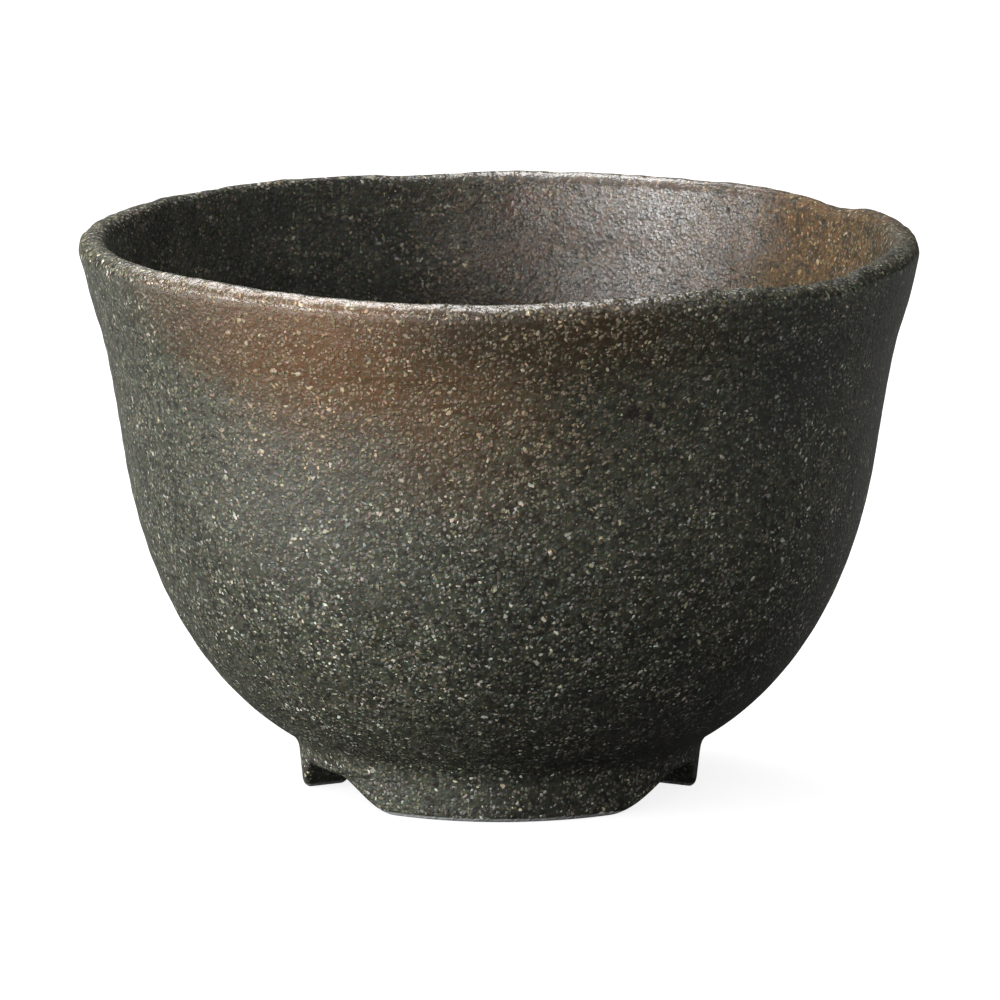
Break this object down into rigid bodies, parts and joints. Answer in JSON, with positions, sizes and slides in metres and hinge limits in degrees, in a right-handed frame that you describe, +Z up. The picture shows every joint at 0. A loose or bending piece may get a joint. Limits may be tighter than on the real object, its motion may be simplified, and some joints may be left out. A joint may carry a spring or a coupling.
{
  "type": "sencha cup",
  "caption": "Handleless tea cup of dark speckled stoneware with a round belly, flared lip and notched foot ring, for holding hot tea.",
  "frame": {"origin": "centre of the cup's foot, on the table surface that the cup stands on", "axes": "+Z up along the cup's axis, -Y towards the front lobe of the foot, between the two front notches, +X to the right seen from the front"},
  "size_m": [0.092, 0.092, 0.0614],
  "materials": {
    "clay": "satin",
    "foot_clay": "matte",
    "slip": "matte",
    "liner_glaze": "satin"
  },
  "bodies": {
    "root": {"bowl": "clay", "foot_ring": "foot_clay", "slip_joint": "slip", "glaze_lining": "liner_glaze"}
  },
  "joints": []
}
